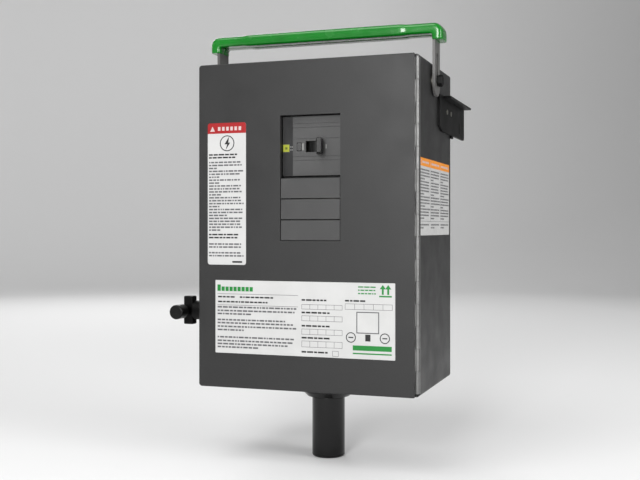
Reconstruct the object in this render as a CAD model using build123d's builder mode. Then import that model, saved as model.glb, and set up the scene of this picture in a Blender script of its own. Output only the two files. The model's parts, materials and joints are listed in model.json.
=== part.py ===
"""A plug-in power distribution box: a breaker in a hinged steel enclosure that hangs on a busway.

x = 0 is the centre plane, y = 0 the rear face and z = 0 the lower edge of the two hooks.
The door faces -Y, and +X is on the right of a person who looks at the door. Millimetres.
"""

from build123d import *
import math
import os

# ---------------------------------------------------------------- driving dimensions
POLE = 25.4  # width of one breaker pole space, which sets the door window
BOX_W = 281.0
BOX_H = 401.5
BOX_D = 184.0
TOP_Z = 80.5
SHEET = 1.5
CORNER_R = 4.0

HALF_W = BOX_W / 2
FRONT_Y = -BOX_D
BOTTOM_Z = TOP_Z - BOX_H
MID_Z = (TOP_Z + BOTTOM_Z) / 2
INNER_W = BOX_W - 2 * SHEET
INNER_H = BOX_H - 2 * SHEET
INNER_R = CORNER_R - SHEET
INNER_X = HALF_W - SHEET
FLOOR_Z = BOTTOM_Z + SHEET

# Front door and its window
DOOR_DEPTH = 9.0
DOOR_BEND_R = 1.4
DOOR_RIGHT_X = 136.5
SKIN_REAR_Y = FRONT_Y + SHEET
BODY_FRONT_Y = FRONT_Y + DOOR_DEPTH + 0.5
WINDOW_X = (-30.9, 46.0)
WINDOW_Z = (-138.7, 13.7)
COLLAR_T = 1.2
COLLAR_REAR_Y = SKIN_REAR_Y + 6.0

# Back plate, a shallow pan inside the wrap
BACK_RIM = 7.0

# Gutter frame behind the door flanges
GUTTER_INSET = 2.3
GUTTER_Y = (-180.5, -172.0, -168.0)

# Continuous hinge on the front right edge
HINGE_X = 139.5
HINGE_Y = -182.0
KNUCKLE_R = 2.2
HINGE_PIN_R = 1.1
HINGE_FIT = 0.05
HINGE_Z = (BOTTOM_Z + 5, TOP_Z - 5)
KNUCKLES = 15
KNUCKLE_GAP = 0.5
LEAF_T = 1.0
LEAF_REAR_Y = -174.8
LEAF_SIDE_FRONT_Y = -179.2
WALL_STRIP_FRONT_Y = -179.5
DOOR_LEAF_X = (119.0, 136.9)

# Carrying handle
STRAP_Y = -104.0
STRAP_W = 28.0
STRAP_T = 3.2
STRAP_X = 142.8
STRAP_BOTTOM_Z = 39.2
STRAP_TOP_Z = 123.1
STRAP_BEND_R = 9.0
STRAP_JOIN_Z = 108.0
PIVOT_Z = 58.2
SLOT_W = 9.0
SLOT_TRAVEL = 30.0
BOLT_R = 3.0
SLIDE_GAP = 0.3
GRIP_X = 155.0
GRIP_INNER_X = 142.0
GRIP_Z = (107.3, 115.0, 128.0)
GRIP_W = 33.0
GRIP_BEND_R = 11.0
GRIP_MID_X = 106.0
GRIP_MID_EXTRA = 0.8

# Hooks
HOOK_T = 3.0
HOOK_Y = (-78.0, 81.0)
HOOK_H = 46.0
HOOK_LIP_W = 10.0
HOOK_LIP_Y = -56.0
HOOK_RIVET_Y = (-35.5, -11.0)
HOOK_RIVET_Z = 27.5

# Conduit drop
CONDUIT_Y = -92.0
CONDUIT_R = 21.1
CONDUIT_BORE_R = 17.6
THREAD_R = 20.2
THREAD_RUNOUT = 2.0
CONDUIT_END_Z = -417.0
HUB_R = 34.0
HUB_NECK_R = 27.6
HUB_H = 18.0
BUSHING_BORE_R = 16.0

# Breaker
CASE_X = (-61.0, 76.0)
FACE_X = (-30.4, 45.5)
FACE_Z = (-59.9, 12.9)
FACE_Y = FRONT_Y + 8.6
GROOVE_ABOVE_MID = (28.1, 23.2, 9.6, -11.9, -16.8)
GROOVE_HALF_W = 0.4
GROOVE_DEPTH = 0.6
BADGE_INSET = 0.2
BADGE_W = 8.0
BADGE_T = 0.3
BADGE_ABOVE_MID = (-5.8, 3.0)
SHOULDER_Y = -165.4
CASE_SPLIT_Y = -140.0
CASE_REAR_Y = -93.4
CASE_Z = (-62.3, 13.5)
CASE_MID_Z = (CASE_Z[0] + CASE_Z[1]) / 2
POLE_Z = [CASE_MID_Z + POLE * k for k in (1, 0, -1)]
LUG_X = (-59.0, -45.0)
LUG_Y = (-138.0, -118.0)
LUG_HALF_Z = 7.5
WIRE_Y = -124.0
TOGGLE_X = 9.5
TOGGLE_Y = -149.4
TOGGLE_TILT = 16.0
TOGGLE_DRUM_R = 24.0
TOGGLE_SLOT_X = (-1.0, 20.0)
TOGGLE_SLOT_H = 13.6
TOGGLE_PIN_R = 2.0
BUTTON_X = (-12.0, -6.7)
BUTTON_H = 9.6
BUTTON_DEPTH = 3.4
BUTTON_TRAVEL = 1.5

# Breaker bracket, plug-in stabs and terminal bars
BRACKET_X = (-52.0, 68.0)
BRACKET_Z = (-118.0, 30.0)
BRACKET_T = 2.0
BRACKET_FOOT = 14.0
LEAD_WINDOW_Y = (-60.0, -8.0)
LEAD_WINDOW_Z = (-112.0, -20.0)
STAB_PITCH = 18.0
STAB_Z = [-29.0 - STAB_PITCH * k for k in range(5)]
STAB_HALF_W = 22.0
STAB_BLOCK_Z = (-113.0, -17.0)
STAB_FLANGE = 10.0
STAB_FRONT_Y = -8.0
STAB_REAR_Y = 36.0
STAB_SLOT_HALF_X = 18.0
STAB_SLOT_HALF_Z = 5.4
STAB_SLOT_FLOOR_Y = 4.0
JAW_HALF_X = 10.0
JAW_GAP = 6.6
TINE_T = 1.4
TINE_END_Y = 33.0
TAIL_HALF_X = 9.0
TAIL_FRONT_Y = -22.0
TAIL_T = 2.0
TAIL_REACH = 28.0
LEAD_R = 3.2
BAR_X = (40.0, 120.0)
BAR_Y = (-30.0, -18.0)
BAR_Z = (-192.0, -180.0)
BAR_WAYS = 6

# Quarter-turn latch on the left side
LATCH_Y = -162.0
LATCH_Z = -228.0
LATCH_R = 4.0
LATCH_FIT = 0.05
LATCH_BOSS_R = 12.0
LATCH_BOSS_L = 16.0
LEVER_X = (-170.0, -157.0)
LEVER_H = 36.0
LEVER_W = 12.0
KNOB_R = 9.0
KNOB_Y = (-202.0, -184.0)
CAM_X = (-133.5, -131.5)
CAM_L = 20.0
STRIKE_GAP = 2.2
STRIKE_REAR_Y = -150.5

# Screw heads
SCREW_HEAD_H = 2.2
SCREW_SLOT_W = 1.2
SCREW_SLOT_DEPTH = 1.0

# Labels: the limits across and up of each film, and their corner radii
LABEL_T = 0.3
DANGER_X = (-127.9, -76.1)
DANGER_Z = (-168.7, 7.2)
RATING_X = (-117.3, 113.5)
RATING_Z = (-278.0, -187.9)
DANGER_LABEL_R = 3.0
RATING_LABEL_R = 0.8
SIDE_LABEL_Y = (-174.5, -9.5)
SIDE_LABEL_Z = (-132.0, -40.0)
SIDE_LABEL_R = 1.5

FRONT = Vector(0, -1, 0)
REAR = Vector(0, 1, 0)
UP = Vector(0, 0, 1)
DOWN = Vector(0, 0, -1)
RIGHT = Vector(1, 0, 0)

pieces = []


# ---------------------------------------------------------------- helpers
def keep(piece, label):
    """Gives a finished piece its name and puts it in the list of pieces to write."""
    piece.part.label = label
    pieces.append(piece.part)


def block(x, y, z, mode=Mode.ADD):
    """A rectangular block between the two limits given for each axis."""
    with Locations(((x[0] + x[1]) / 2, (y[0] + y[1]) / 2, (z[0] + z[1]) / 2)):
        Box(abs(x[1] - x[0]), abs(y[1] - y[0]), abs(z[1] - z[0]), mode=mode)


def rod(start, direction, radius, length, mode=Mode.ADD):
    """A round bar that starts at a point and runs in one direction."""
    with Locations(Plane(origin=start, z_dir=direction)):
        Cylinder(radius, length, align=(Align.CENTER, Align.CENTER, Align.MIN), mode=mode)


def hexagon(start, direction, across, length, mode=Mode.ADD):
    """A hexagonal prism, measured across its flats."""
    with BuildSketch(Plane(origin=start, z_dir=direction), mode=Mode.PRIVATE) as outline:
        RegularPolygon(across / 2, 6, major_radius=False)
    extrude(outline.sketch, amount=length, mode=mode)


def cross_head(x, y, z, radius):
    """The head of a cross-recess screw that stands forward of the face at y."""
    top = (x, y - SCREW_HEAD_H, z)
    rod(top, REAR, radius, SCREW_HEAD_H)
    with Locations(Plane(origin=top, z_dir=FRONT)):
        Box(1.22 * radius, SCREW_SLOT_W, 2 * SCREW_SLOT_DEPTH, mode=Mode.SUBTRACT)
        Box(SCREW_SLOT_W, 1.22 * radius, 2 * SCREW_SLOT_DEPTH, mode=Mode.SUBTRACT)


def front_plane(y):
    """The plane parallel to the door at y: its sketches are extruded towards the front."""
    return Plane.XZ.offset(-y)


def sides(x):
    """The same distance on the left and on the right, with the outward direction of each."""
    return ((-x, -RIGHT), (x, RIGHT))


# ---------------------------------------------------------------- enclosure
with BuildPart() as enclosure_wrap:
    # The band of top, sides and bottom is one bent sheet.
    with BuildSketch(front_plane(0)):
        with Locations((0, MID_Z)):
            RectangleRounded(BOX_W, BOX_H, CORNER_R)
            RectangleRounded(INNER_W, INNER_H, INNER_R, mode=Mode.SUBTRACT)
    extrude(amount=-WALL_STRIP_FRONT_Y)
    # Only the hinge side reaches forward of the door flanges.
    cut_y = (WALL_STRIP_FRONT_Y - 1, BODY_FRONT_Y)
    block((-HALF_W - 1, INNER_X), cut_y, (BOTTOM_Z - 1, TOP_Z + 1), Mode.SUBTRACT)
    block((INNER_X, HALF_W + 1), cut_y, (HINGE_Z[1], TOP_Z + 1), Mode.SUBTRACT)
    block((INNER_X, HALF_W + 1), cut_y, (BOTTOM_Z - 1, HINGE_Z[0]), Mode.SUBTRACT)
    for x, outward in sides(INNER_X - 1):
        rod((x, STRAP_Y, PIVOT_Z), outward, BOLT_R, SHEET + 2, Mode.SUBTRACT)
        for y in HOOK_RIVET_Y:
            rod((x, y, HOOK_RIVET_Z), outward, 2.0, SHEET + 2, Mode.SUBTRACT)
    rod((-INNER_X + 1, LATCH_Y, LATCH_Z), -RIGHT, LATCH_R + 0.4, SHEET + 2, Mode.SUBTRACT)
    rod((0, CONDUIT_Y, FLOOR_Z + 1), DOWN, THREAD_R, SHEET + 2, Mode.SUBTRACT)
keep(enclosure_wrap, "enclosure_wrap")

with BuildPart() as back_plate:
    with BuildSketch(front_plane(0)):
        with Locations((0, MID_Z)):
            RectangleRounded(INNER_W, INNER_H, INNER_R)
    extrude(amount=BACK_RIM)
    with BuildSketch(front_plane(-SHEET)):
        with Locations((0, MID_Z)):
            RectangleRounded(INNER_W - 2 * SHEET, INNER_H - 2 * SHEET, 1.0)
    extrude(amount=BACK_RIM, mode=Mode.SUBTRACT)
    # The stabs pass through this opening.
    stab_hole_z = (STAB_BLOCK_Z[0] - 1, STAB_BLOCK_Z[1] + 1)
    block((-STAB_HALF_W - 1, STAB_HALF_W + 1), (-3, 1), stab_hole_z, Mode.SUBTRACT)
keep(back_plate, "back_plate")

with BuildPart() as gutter_frame:
    gutter_w = BOX_W - 2 * GUTTER_INSET
    gutter_h = BOX_H - 2 * GUTTER_INSET
    with BuildSketch(front_plane(GUTTER_Y[2])):
        with Locations((0, MID_Z)):
            RectangleRounded(INNER_W, INNER_H, INNER_R)
    extrude(amount=GUTTER_Y[2] - GUTTER_Y[1])
    with BuildSketch(front_plane(GUTTER_Y[1])):
        with Locations((0, MID_Z)):
            RectangleRounded(gutter_w, gutter_h, 2.0)
    extrude(amount=GUTTER_Y[1] - GUTTER_Y[0])
    with BuildSketch(front_plane(GUTTER_Y[2])):
        with Locations((0, MID_Z)):
            RectangleRounded(gutter_w - 2 * SHEET, gutter_h - 2 * SHEET, 1.0)
    extrude(amount=GUTTER_Y[2] - GUTTER_Y[0], mode=Mode.SUBTRACT)
    # It stands back from the hinge knuckles.
    hinge_side_y = (GUTTER_Y[0] - 1, HINGE_Y + 3.0)
    block((HALF_W - 6, HALF_W), hinge_side_y, (BOTTOM_Z, TOP_Z), Mode.SUBTRACT)
keep(gutter_frame, "gutter_frame")

# ---------------------------------------------------------------- door
with BuildPart() as front_door:
    door_w = DOOR_RIGHT_X + HALF_W
    door_mid_x = (DOOR_RIGHT_X - HALF_W) / 2
    with BuildSketch(front_plane(FRONT_Y + DOOR_DEPTH)) as door_outline:
        with Locations((door_mid_x, MID_Z)):
            Rectangle(door_w, BOX_H)
        fillet(door_outline.vertices().group_by(Axis.X)[0], CORNER_R)
        fillet(door_outline.vertices().group_by(Axis.X)[-1], 1.5)
    extrude(amount=DOOR_DEPTH)
    fillet(front_door.faces().sort_by(Axis.Y)[0].edges(), DOOR_BEND_R)
    with BuildSketch(front_plane(FRONT_Y + DOOR_DEPTH)) as door_hollow:
        with Locations((door_mid_x, MID_Z)):
            Rectangle(door_w - 2 * SHEET, INNER_H)
        fillet(door_hollow.vertices(), INNER_R)
    extrude(amount=DOOR_DEPTH - SHEET, mode=Mode.SUBTRACT)
    # The hinge side has no flange.
    block((130, 140), (SKIN_REAR_Y, -170), (BOTTOM_Z - 1, TOP_Z + 1), Mode.SUBTRACT)
    # A collar stiffens the window.
    collar_x = (WINDOW_X[0] - COLLAR_T, WINDOW_X[1] + COLLAR_T)
    collar_z = (WINDOW_Z[0] - COLLAR_T, WINDOW_Z[1] + COLLAR_T)
    block(collar_x, (SKIN_REAR_Y - 0.5, COLLAR_REAR_Y), collar_z)
    block(WINDOW_X, (FRONT_Y - 1, COLLAR_REAR_Y + 1), WINDOW_Z, Mode.SUBTRACT)
keep(front_door, "front_door")

BLANK_T = 2.0
BLANK_GAP = 0.6
BLANK_FRONT_Y = FRONT_Y + 0.4
HOOK_TIP = 1.0
for number in (1, 2, 3):
    top = WINDOW_Z[0] + POLE * (4 - number) - BLANK_GAP
    bottom = WINDOW_Z[0] + POLE * (3 - number) + BLANK_GAP
    left = WINDOW_X[0] + BLANK_GAP
    right = WINDOW_X[1] - BLANK_GAP
    with BuildPart() as blank:
        block((left, right), (BLANK_FRONT_Y, BLANK_FRONT_Y + BLANK_T), (bottom, top))
        front_edges = blank.faces().sort_by(Axis.Y)[0].edges()
        fillet(front_edges, 0.4)
        # Two spring legs hook behind the collar.
        leg_z = ((top + bottom) / 2 - 6, (top + bottom) / 2 + 6)
        leg_y = (BLANK_FRONT_Y + BLANK_T, COLLAR_REAR_Y + 1.5)
        tip_y = (COLLAR_REAR_Y, COLLAR_REAR_Y + 1.5)
        block((left, left + 1.6), leg_y, leg_z)
        block((left - BLANK_GAP - HOOK_TIP, left), tip_y, leg_z)
        block((right - 1.6, right), leg_y, leg_z)
        block((right, right + BLANK_GAP + HOOK_TIP), tip_y, leg_z)
        # A rib stiffens the plate.
        block((left + 8, right - 8), leg_y, (leg_z[0] + 5.4, leg_z[1] - 5.4))
    keep(blank, f"blank_plate_{number}")

# ---------------------------------------------------------------- hinge
segment = (HINGE_Z[1] - HINGE_Z[0]) / KNUCKLES
hinge_axis = (HINGE_X, HINGE_Y, HINGE_Z[0])
knuckle_z = [HINGE_Z[0] + segment * k + KNUCKLE_GAP / 2 for k in range(KNUCKLES)]
knuckle_length = segment - KNUCKLE_GAP

with BuildPart() as hinge_leaf_body:
    block((HALF_W, HALF_W + LEAF_T), (LEAF_SIDE_FRONT_Y, LEAF_REAR_Y), HINGE_Z)
    for z in knuckle_z[0::2]:
        rod((HINGE_X, HINGE_Y, z), UP, KNUCKLE_R, knuckle_length)
        block((HALF_W, HALF_W + LEAF_T), (HINGE_Y, LEAF_SIDE_FRONT_Y), (z, z + knuckle_length))
    rod(hinge_axis, UP, HINGE_PIN_R + HINGE_FIT, HINGE_Z[1] - HINGE_Z[0], Mode.SUBTRACT)
keep(hinge_leaf_body, "hinge_leaf_body")

with BuildPart() as hinge_leaf_door:
    leaf_y = (SKIN_REAR_Y, SKIN_REAR_Y + LEAF_T)
    block(DOOR_LEAF_X, leaf_y, HINGE_Z)
    for z in knuckle_z[1::2]:
        rod((HINGE_X, HINGE_Y, z), UP, KNUCKLE_R, knuckle_length)
        block((DOOR_LEAF_X[1], HINGE_X - 1.5), leaf_y, (z, z + knuckle_length))
    rod(hinge_axis, UP, HINGE_PIN_R + HINGE_FIT, HINGE_Z[1] - HINGE_Z[0], Mode.SUBTRACT)
keep(hinge_leaf_door, "hinge_leaf_door")

with BuildPart() as hinge_pin:
    rod(hinge_axis, UP, HINGE_PIN_R, HINGE_Z[1] - HINGE_Z[0])
    rod((HINGE_X, HINGE_Y, HINGE_Z[1]), UP, KNUCKLE_R - 0.4, 1.0)
keep(hinge_pin, "hinge_pin")

# ---------------------------------------------------------------- carrying handle
with BuildPart() as handle_frame:
    for x in (STRAP_X, -STRAP_X - STRAP_T):
        with BuildSketch(Plane.YZ.offset(x)):
            leg_round_z = STRAP_BOTTOM_Z + STRAP_W / 2
            with Locations((STRAP_Y, (leg_round_z + STRAP_JOIN_Z) / 2)):
                Rectangle(STRAP_W, STRAP_JOIN_Z - leg_round_z)
            with Locations((STRAP_Y, leg_round_z)):
                Circle(STRAP_W / 2)
            with Locations((STRAP_Y, PIVOT_Z + SLOT_TRAVEL / 2)):
                SlotCenterToCenter(SLOT_TRAVEL, SLOT_W, rotation=90, mode=Mode.SUBTRACT)
        extrude(amount=STRAP_T)
    # The cross strap, bent down at both ends, runs inside the grip.
    with BuildSketch(front_plane(STRAP_Y + STRAP_W / 2)) as bow:
        with BuildLine():
            outer_x = STRAP_X + STRAP_T
            corners = [(-outer_x, STRAP_JOIN_Z), (-outer_x, STRAP_TOP_Z)]
            corners += [(outer_x, STRAP_TOP_Z), (outer_x, STRAP_JOIN_Z)]
            spine = FilletPolyline(*corners, radius=STRAP_BEND_R)
            offset(spine, amount=STRAP_T, side=Side.RIGHT, kind=Kind.ARC)
        make_face()
    extrude(amount=STRAP_W)
keep(handle_frame, "handle_frame")

with BuildPart() as handle_grip:
    lower_z, under_z, upper_z = GRIP_Z
    with BuildSketch(front_plane(STRAP_Y + GRIP_W / 2)) as grip_outline:
        with Locations((0, (lower_z + upper_z) / 2)):
            Rectangle(2 * GRIP_X, upper_z - lower_z)
        fillet(grip_outline.vertices().group_by(Axis.Y)[-1], GRIP_BEND_R)
    extrude(amount=GRIP_W)
    with BuildSketch(front_plane(STRAP_Y + GRIP_W / 2)) as grip_inside:
        with Locations((0, (lower_z - 5 + under_z) / 2)):
            Rectangle(2 * GRIP_INNER_X, under_z - lower_z + 5)
        fillet(grip_inside.vertices().group_by(Axis.Y)[-1], 3.0)
    extrude(amount=GRIP_W, mode=Mode.SUBTRACT)
    side_faces = handle_grip.faces().filter_by(Axis.Y)
    fillet(side_faces.edges(), 4.0)
    # The middle, where the hand goes, is a little thicker.
    middle_y = GRIP_W / 2 + GRIP_MID_EXTRA
    middle_z = (under_z - GRIP_MID_EXTRA, upper_z + GRIP_MID_EXTRA)
    with BuildSketch(Plane.YZ.offset(-GRIP_MID_X)):
        with Locations((STRAP_Y, (middle_z[0] + middle_z[1]) / 2)):
            RectangleRounded(2 * middle_y, middle_z[1] - middle_z[0], 4.6)
    extrude(amount=2 * GRIP_MID_X)
    add(handle_frame.part, mode=Mode.SUBTRACT)
keep(handle_grip, "handle_grip")

bush_flange_x = STRAP_X + STRAP_T + SLIDE_GAP
BUSH_FLANGE_T = 1.0
head_x = bush_flange_x + BUSH_FLANGE_T + SLIDE_GAP
bush_length = bush_flange_x + BUSH_FLANGE_T / 2 - STRAP_X
with BuildPart() as pivot_spacers:
    for x, outward in sides(HALF_W):
        rod((x, STRAP_Y, PIVOT_Z), outward, 9.0, STRAP_X - SLIDE_GAP - HALF_W)
        rod((x, STRAP_Y, PIVOT_Z), outward, BOLT_R, 5.0, Mode.SUBTRACT)
keep(pivot_spacers, "pivot_spacers")

with BuildPart() as slot_bushes:
    for x, outward in sides(STRAP_X):
        rod((x, STRAP_Y, PIVOT_Z), outward, SLOT_W / 2 - 0.05, bush_length)
    for x, outward in sides(bush_flange_x):
        rod((x, STRAP_Y, PIVOT_Z), outward, 6.8, BUSH_FLANGE_T)
    for x, outward in sides(HALF_W):
        rod((x, STRAP_Y, PIVOT_Z), outward, BOLT_R + 0.05, 10.0, Mode.SUBTRACT)
keep(slot_bushes, "slot_bushes")

with BuildPart() as pivot_bolts:
    for x, outward in sides(INNER_X - 7):
        rod((x, STRAP_Y, PIVOT_Z), outward, BOLT_R, head_x - INNER_X + 7.5)
    for x, outward in sides(head_x):
        hexagon((x, STRAP_Y, PIVOT_Z), outward, 13.0, 5.3)
    outer_faces = pivot_bolts.faces().sort_by(Axis.X)
    chamfer(outer_faces[0].edges() + outer_faces[-1].edges(), 0.7)
keep(pivot_bolts, "pivot_bolts")

with BuildPart() as pivot_nuts:
    for x, outward in sides(INNER_X):
        hexagon((x, STRAP_Y, PIVOT_Z), -outward, 10.0, 5.0)
        rod((x, STRAP_Y, PIVOT_Z), -outward, BOLT_R, 6.0, Mode.SUBTRACT)
keep(pivot_nuts, "pivot_nuts")

# ---------------------------------------------------------------- hooks
for name, side in (("left", -1), ("right", 1)):
    web_x = (side * HALF_W, side * (HALF_W + HOOK_T))
    lip_x = (side * HALF_W, side * (HALF_W + HOOK_T + HOOK_LIP_W))
    with BuildPart() as hook:
        with BuildSketch(Plane.YZ.offset(min(web_x))):
            with BuildLine():
                Polyline(
                    (HOOK_Y[0], HOOK_H),
                    (HOOK_Y[0], 6.0),
                    (HOOK_Y[0] + 16.0, 0.0),
                    (-4.0, 0.0),
                    (-4.0, -4.0),
                    (6.0, -4.0),
                    (6.0, 0.0),
                    (HOOK_Y[1] - 3.0, 0.0),
                    (HOOK_Y[1], 3.0),
                    (HOOK_Y[1], HOOK_H),
                    close=True,
                )
            make_face()
            with Locations((46.0, 13.2)):
                SlotOverall(14.5, 3.0, rotation=90, mode=Mode.SUBTRACT)
        extrude(amount=HOOK_T)
        block(sorted(lip_x), (HOOK_LIP_Y, HOOK_Y[1]), (HOOK_H - HOOK_T, HOOK_H))
        lip_tip = hook.edges().filter_by(Axis.Y).sort_by(Axis.X)
        fillet(lip_tip[-2:] if side > 0 else lip_tip[:2], 1.2)
        for y in HOOK_RIVET_Y:
            rod((side * HALF_W, y, HOOK_RIVET_Z), RIGHT * side, 2.0, HOOK_T, Mode.SUBTRACT)
    keep(hook, f"hook_{name}")

with BuildPart() as hook_rivets:
    for x, outward in sides(INNER_X - 1.2):
        for y in HOOK_RIVET_Y:
            rod((x, y, HOOK_RIVET_Z), outward, 3.2, 1.2)
            rod((x, y, HOOK_RIVET_Z), outward, 2.0, 1.2 + SHEET + HOOK_T + 0.2)
            cap_x = math.copysign(HALF_W + HOOK_T, x)
            rod((cap_x, y, HOOK_RIVET_Z), outward, 3.2, 0.9)
            rod((cap_x, y, HOOK_RIVET_Z), outward, 1.1, 1.0, Mode.SUBTRACT)
keep(hook_rivets, "hook_rivets")

# ---------------------------------------------------------------- conduit drop
with BuildPart() as conduit_hub:
    with BuildSketch(Plane.XZ.offset(-CONDUIT_Y)) as hub_section:
        with BuildLine():
            taper = HUB_R - HUB_NECK_R
            Polyline(
                (THREAD_R, BOTTOM_Z),
                (HUB_R, BOTTOM_Z),
                (HUB_R, BOTTOM_Z - HUB_H + taper),
                (HUB_NECK_R, BOTTOM_Z - HUB_H),
                (THREAD_R, BOTTOM_Z - HUB_H),
                close=True,
            )
        make_face()
    revolve(axis=Axis((0, CONDUIT_Y, 0), (0, 0, 1)))
    fillet(conduit_hub.edges().filter_by(GeomType.CIRCLE).sort_by(SortBy.RADIUS)[-2:], 0.8)
keep(conduit_hub, "conduit_hub")

LOCKNUT_R = 27.2
LOCKNUT_H = 6.0
LOCKNUT_NOTCHES = 8
LOCKNUT_NOTCH_R = 2.4
NIPPLE_TOP_Z = FLOOR_Z + LOCKNUT_H + 1.5
BUSHING_RIM = 4.0
BUSHING_SPIGOT = 12.0
with BuildPart() as conduit_nipple:
    # The thread at the top is thinner than the tube below it.
    tube_top_z = BOTTOM_Z - HUB_H - THREAD_RUNOUT
    nipple_length = NIPPLE_TOP_Z - CONDUIT_END_Z - BUSHING_RIM
    rod((0, CONDUIT_Y, NIPPLE_TOP_Z), DOWN, THREAD_R, nipple_length)
    rod((0, CONDUIT_Y, tube_top_z), DOWN, CONDUIT_R, tube_top_z - CONDUIT_END_Z - BUSHING_RIM)
    rod((0, CONDUIT_Y, NIPPLE_TOP_Z), DOWN, CONDUIT_BORE_R, nipple_length, Mode.SUBTRACT)
keep(conduit_nipple, "conduit_nipple")

with BuildPart() as conduit_locknut:
    rod((0, CONDUIT_Y, FLOOR_Z), UP, LOCKNUT_R, LOCKNUT_H)
    for k in range(LOCKNUT_NOTCHES):
        angle = 2 * math.pi * k / LOCKNUT_NOTCHES
        notch_x = LOCKNUT_R * math.cos(angle)
        notch_y = CONDUIT_Y + LOCKNUT_R * math.sin(angle)
        rod((notch_x, notch_y, FLOOR_Z), UP, LOCKNUT_NOTCH_R, LOCKNUT_H, Mode.SUBTRACT)
    rod((0, CONDUIT_Y, FLOOR_Z), UP, THREAD_R, LOCKNUT_H, Mode.SUBTRACT)
keep(conduit_locknut, "conduit_locknut")

with BuildPart() as conduit_bushing:
    rod((0, CONDUIT_Y, CONDUIT_END_Z), UP, CONDUIT_R, BUSHING_RIM)
    fillet(conduit_bushing.edges().filter_by(GeomType.CIRCLE).sort_by(Axis.Z)[0], 3.2)
    rod((0, CONDUIT_Y, CONDUIT_END_Z + BUSHING_RIM), UP, CONDUIT_BORE_R, BUSHING_SPIGOT)
    rod((0, CONDUIT_Y, CONDUIT_END_Z), UP, BUSHING_BORE_R, BUSHING_RIM + BUSHING_SPIGOT, Mode.SUBTRACT)
    end_rims = conduit_bushing.edges().filter_by(GeomType.CIRCLE).group_by(Axis.Z)[0]
    fillet(end_rims.sort_by(SortBy.RADIUS)[0], 0.8)
keep(conduit_bushing, "conduit_bushing")

# ---------------------------------------------------------------- breaker
toggle_pivot = (TOGGLE_X, TOGGLE_Y, CASE_MID_Z)
POCKET_H = 16.0
DRUM_H = 15.0
with BuildPart() as breaker_cover:
    block(CASE_X, (SHOULDER_Y, CASE_SPLIT_Y), CASE_Z)
    block(FACE_X, (FACE_Y, SHOULDER_Y), FACE_Z)
    fillet(breaker_cover.edges().filter_by(Axis.Y).sort_by(Axis.Y)[:4], 1.0)
    fillet(breaker_cover.faces().sort_by(Axis.Y)[0].edges(), 0.6)
    # Shallow grooves across the face mark off its strips.
    for height in GROOVE_ABOVE_MID:
        groove_z = (CASE_MID_Z + height - GROOVE_HALF_W, CASE_MID_Z + height + GROOVE_HALF_W)
        block((FACE_X[0] - 1, FACE_X[1] + 1), (FACE_Y - 1, FACE_Y + GROOVE_DEPTH), groove_z, Mode.SUBTRACT)
    # The toggle turns in a drum pocket behind its slot.
    with BuildSketch(Plane.XY.offset(CASE_MID_Z - POCKET_H / 2)):
        with Locations((TOGGLE_X, TOGGLE_Y)):
            Circle(TOGGLE_DRUM_R + 0.5)
        with Locations((TOGGLE_X, TOGGLE_Y + 6.5 + TOGGLE_DRUM_R)):
            Rectangle(2 * TOGGLE_DRUM_R + 4, 2 * TOGGLE_DRUM_R, mode=Mode.SUBTRACT)
    extrude(amount=POCKET_H, mode=Mode.SUBTRACT)
    slot_z = (CASE_MID_Z - TOGGLE_SLOT_H / 2, CASE_MID_Z + TOGGLE_SLOT_H / 2)
    block(TOGGLE_SLOT_X, (FACE_Y - 1, FACE_Y + 6), slot_z, Mode.SUBTRACT)
    rod((TOGGLE_X, TOGGLE_Y, CASE_MID_Z - 12), UP, TOGGLE_PIN_R, 24, Mode.SUBTRACT)
    # The trip button's well
    button_well_x = (BUTTON_X[0] - 0.35, BUTTON_X[1] + 0.35)
    button_well_z = (CASE_MID_Z - BUTTON_H / 2 - 0.35, CASE_MID_Z + BUTTON_H / 2 + 0.35)
    well_floor_y = FACE_Y + BUTTON_DEPTH + BUTTON_TRAVEL + 0.3
    block(button_well_x, (FACE_Y - 1, well_floor_y), button_well_z, Mode.SUBTRACT)
    # Screwdriver wells over the lugs
    for x in (LUG_X[0] + 7, CASE_X[0] + CASE_X[1] - LUG_X[0] - 7):
        for z in POLE_Z:
            rod((x, SHOULDER_Y, z), REAR, 4.6, CASE_SPLIT_Y - SHOULDER_Y, Mode.SUBTRACT)
keep(breaker_cover, "breaker_cover")

with BuildPart() as breaker_base:
    block(CASE_X, (CASE_SPLIT_Y, CASE_REAR_Y), CASE_Z)
    # Three lug chambers open at each end.
    end_sum = CASE_X[0] + CASE_X[1]
    for z in POLE_Z:
        chamber_z = (z - LUG_HALF_Z - 0.5, z + LUG_HALF_Z + 0.5)
        chamber_y = (CASE_SPLIT_Y, LUG_Y[1])
        block((CASE_X[0], LUG_X[1]), chamber_y, chamber_z, Mode.SUBTRACT)
        block((end_sum - LUG_X[1], CASE_X[1]), chamber_y, chamber_z, Mode.SUBTRACT)
keep(breaker_base, "breaker_base")

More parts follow.
